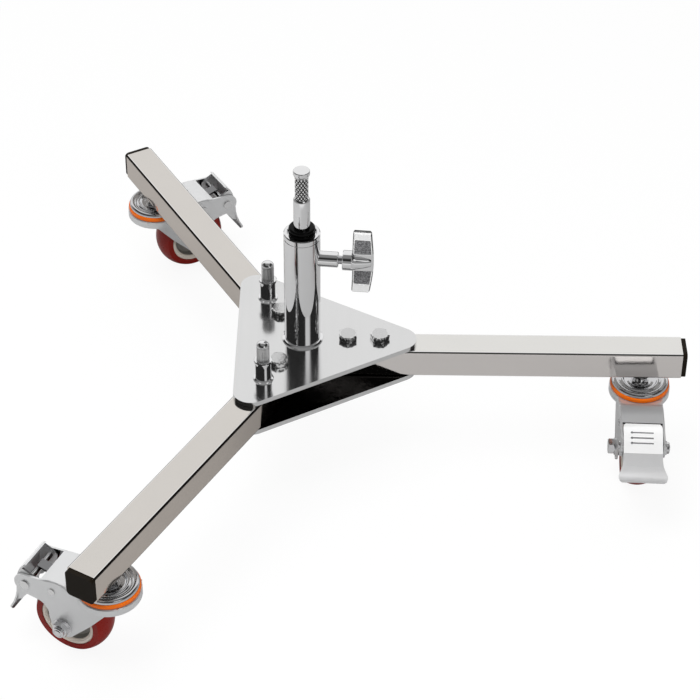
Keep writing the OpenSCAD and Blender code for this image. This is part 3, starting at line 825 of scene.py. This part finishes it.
def pedal(side):
    """The pedal's looks: a pad painted brighter as light over a plainer toe, painted shade on its inner side
    and shaded grooves.
    """
    lean = Matrix.Rotation(math.radians(PEDAL_LEANS[side]), 4, "Y")
    pin = lean @ Matrix.Translation((-PEDAL_PIN[0], 0, -PEDAL_PIN[1]))
    fold = -9.5
    crease = (pin.inverted() @ Vector((0, 0, fold)), lean.to_3x3().inverted() @ Vector((0, 0, 1)))

    def zone(spots, normal):
        spots = [pin @ p for p in spots]
        facing = (lean.to_3x3() @ normal).x
        if all(in_groove(p) for p in spots):
            return 4
        # Forward faces: the pad above the fold is painted bright as light, the toe below stays plainer;
        # backward faces take painted shade.
        if facing > 0.3:
            return 1 if sum(p.z for p in spots) / len(spots) > fold else 2
        return 3 if facing < -0.3 else 0

    mesh = folded_sheet(side, "pedal", lambda p: not in_groove(pin @ p), 0.45, crease=crease)
    pressed_piece(side, "pedal", "pedal", mesh,
                  ["zinc_steel", "painted_lit_pad", "pedal_toe", "painted_inner_shade", "groove_shade"], zone)


# Stage

def floor():
    """The floor: nearly white with the object's shadow to the camera. Elsewhere it is grey near the
    object and glows in front of it."""
    reach, low = 12.0, cad_box[0][2] - 0.0002
    corners = [(-reach, -reach, low), (reach, -reach, low), (reach, reach, low), (-reach, reach, low)]
    mesh = bpy.data.meshes.new("floor")
    mesh.from_pydata(corners, [], [(0, 1, 2, 3)])
    ground = bpy.data.objects.new("floor", mesh)
    bpy.context.collection.objects.link(ground)
    material = bpy.data.materials.new("pale_floor")
    material.use_nodes = True
    paint = Paint(material.node_tree)
    seen = paint.node("ShaderNodeLightPath", out="Is Camera Ray")
    where = paint.node("ShaderNodeTexCoord", out="Object")
    dim = paint.mix(paint.part(where, "X").ramp(-0.4, 0.1), grey(0.61), grey(0.5))
    ahead = 1 - paint.part(where, "Y").ramp(-1.6, -1.0)
    matt = paint.node("ShaderNodeBsdfDiffuse", None, Color=paint.mix(seen, dim, grey(0.95)))
    glow = paint.node("ShaderNodeEmission", None, Color=grey(1), Strength=1.0)
    glowing = seen * 0.92 + (1 - seen) * ahead * 0.8
    paint.finish(paint.node("ShaderNodeMixShader", None, glowing, matt, glow))
    mesh.materials.append(material)


def sky():
    """A plain studio: bright behind and past the top, dim overhead and low down, and dark above the
    camera but for a strip. The camera itself sees it white."""
    world = bpy.data.worlds.new("studio")
    bpy.context.scene.world = world
    world.use_nodes = True
    paint = Paint(world.node_tree)
    way = paint.node("ShaderNodeTexCoord", out="Generated")
    right, back, up = (paint.part(way, axis) for axis in "XYZ")
    high = up.ramp(0.72, 0.92)
    low = 1 - up.ramp(0.38, 0.46)
    past_top = high * back.ramp(0.06, 0.3)
    aside = right.math("ABSOLUTE") / back.math("MAXIMUM", 0.05)
    behind = back.ramp(0.28, 0.55) * (1 - aside.ramp(1.1, 1.6))
    bright = behind + past_top * (1 - behind)
    slant = right / (0 - back)
    strip = slant.band(0.30, 0.42, 0.9, 1.5) * up.band(0.45, 0.5, 0.70, 0.76) * (1 - back.ramp(-0.3, -0.1))
    light = 0.03 + 0.97 * bright + (0.22 * high + 0.28 * low) * (1 - bright) + 0.9 * strip
    seen = paint.node("ShaderNodeLightPath", out="Is Camera Ray")
    level = seen + (1 - seen) * light
    paint.finish(paint.node("ShaderNodeBackground", None, grey(1), level), "ShaderNodeOutputWorld")


def lamp(name, place, side, power):
    """A soft square lamp in metres and watts that looks at the origin and isn't seen in the metal."""
    data = bpy.data.lights.new(name, "AREA")
    data.shape = "RECTANGLE"
    data.size = side
    data.size_y = side
    data.energy = power
    held = bpy.data.objects.new(name, data)
    held.location = place
    held.rotation_euler = (-Vector(place)).to_track_quat("-Z", "Y").to_euler()
    held.visible_glossy = False
    bpy.context.collection.objects.link(held)


def camera():
    """The photograph's camera, fitted to the edges of legs and plates and the outlines of wheels."""
    place = (0.0522966, -1.7980647, 1.3352912)
    heading, drop, roll = (math.radians(a) for a in (0.1562, 38.6916, -0.5491))
    data = bpy.data.cameras.new("view")
    data.lens = 122.127
    data.shift_x = -0.001856
    data.shift_y = -0.05266
    eye = bpy.data.objects.new("view", data)
    aim = Matrix.Rotation(heading, 4, "Z") @ Matrix.Rotation(math.pi / 2 - drop, 4, "X")
    eye.matrix_world = Matrix.Translation(place) @ aim @ Matrix.Rotation(-roll, 4, "Z")
    bpy.context.collection.objects.link(eye)
    bpy.context.scene.camera = eye


lighting_stud()
hub_bolts()
for side in ("front", "rear"):
    index_plunger(side)
clamp_t_handle()
for side in LEG_ANGLES:
    wheel_rim(side)
    swivel_head(side)
    fork(side)
    pedal(side)
floor()
sky()
lamp("overhead", (-0.6, -0.4, 2.2), 1.6, 48)
lamp("front_fill", (1.3, -2.0, 0.9), 1.4, 18)
camera()
bpy.context.scene.view_settings.view_transform = "Standard"
